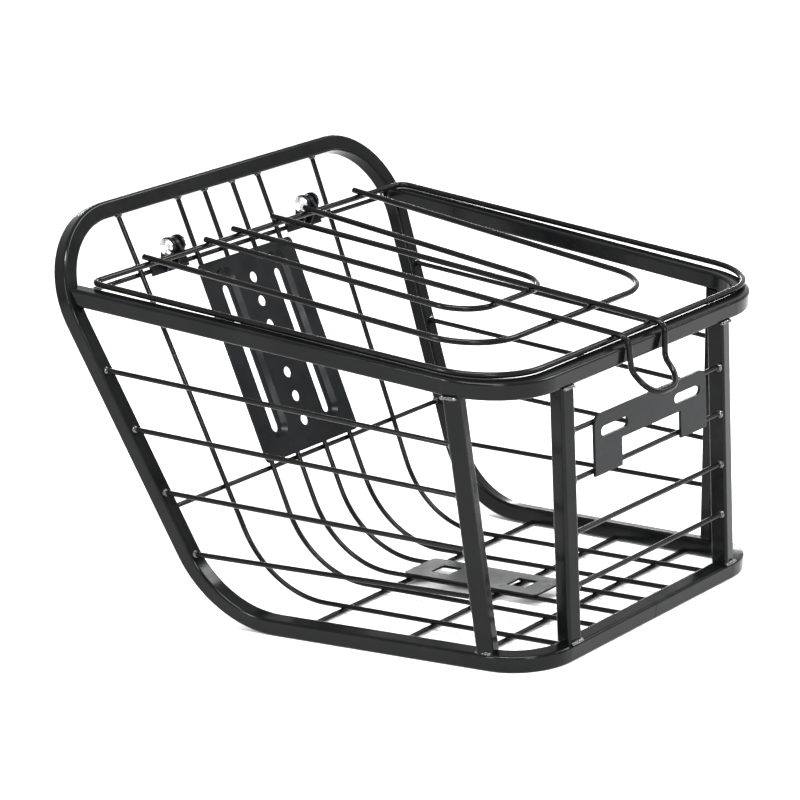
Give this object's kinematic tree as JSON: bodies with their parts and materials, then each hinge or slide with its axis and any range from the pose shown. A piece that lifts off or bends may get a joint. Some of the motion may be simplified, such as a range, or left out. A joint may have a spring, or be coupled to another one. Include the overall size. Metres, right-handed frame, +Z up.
{
  "type": "handlebar basket",
  "caption": "Black steel bicycle handlebar basket with square tube frame, wire grid, slotted back plate, front bracket and hinged wire lid with latch loop.",
  "frame": {"origin": "centre of the footprint of the whole basket, on the floor", "axes": "+X to the right seen from the front, +Y from the front rail towards the handlebar side, +Z up"},
  "size_m": [0.3732, 0.3922, 0.2834],
  "materials": {
    "black_paint": "semi_gloss",
    "zinc_hardware": "zinc_plated"
  },
  "bodies": {
    "basket": {"frame_tube": "black_paint", "rim_tube": "black_paint", "front_upright_left": "black_paint", "front_upright_right": "black_paint", "side_upright_left": "black_paint", "side_upright_right": "black_paint", "side_wire_left_1": "black_paint", "side_wire_left_2": "black_paint", "side_wire_left_3": "black_paint", "side_wire_left_4": "black_paint", "side_wire_right_1": "black_paint", "side_wire_right_2": "black_paint", "side_wire_right_3": "black_paint", "side_wire_right_4": "black_paint", "front_wire_1": "black_paint", "front_wire_2": "black_paint", "front_wire_3": "black_paint", "front_wire_4": "black_paint", "long_wire_a": "black_paint", "long_wire_b": "black_paint", "long_wire_c": "black_paint", "long_wire_d": "black_paint", "long_wire_e": "black_paint", "long_wire_f": "black_paint", "floor_cross_wire_1": "black_paint", "floor_cross_wire_2": "black_paint", "floor_cross_wire_3": "black_paint", "back_cross_wire_upper": "black_paint", "back_cross_wire_lower": "black_paint", "back_plate": "black_paint", "floor_plate": "black_paint", "front_bracket": "black_paint", "hinge_bracket_left": "black_paint", "hinge_bracket_right": "black_paint", "hinge_bolt_left": "zinc_hardware", "hinge_bolt_right": "zinc_hardware", "hinge_nut_left": "zinc_hardware", "hinge_nut_right": "zinc_hardware"},
    "lid": {"lid_frame_wire": "black_paint", "lid_outer_loop": "black_paint", "lid_inner_loop": "black_paint", "lid_latch_wire": "black_paint", "lid_ear_left": "black_paint", "lid_ear_right": "black_paint"}
  },
  "joints": [
    {"name": "lid_hinge", "type": "hinge", "parent": "basket", "child": "lid", "pos_m": [0, 0.16759, 0.24478], "axis": [-1, 0, 0], "range_deg": [0, 114]}
  ]
}
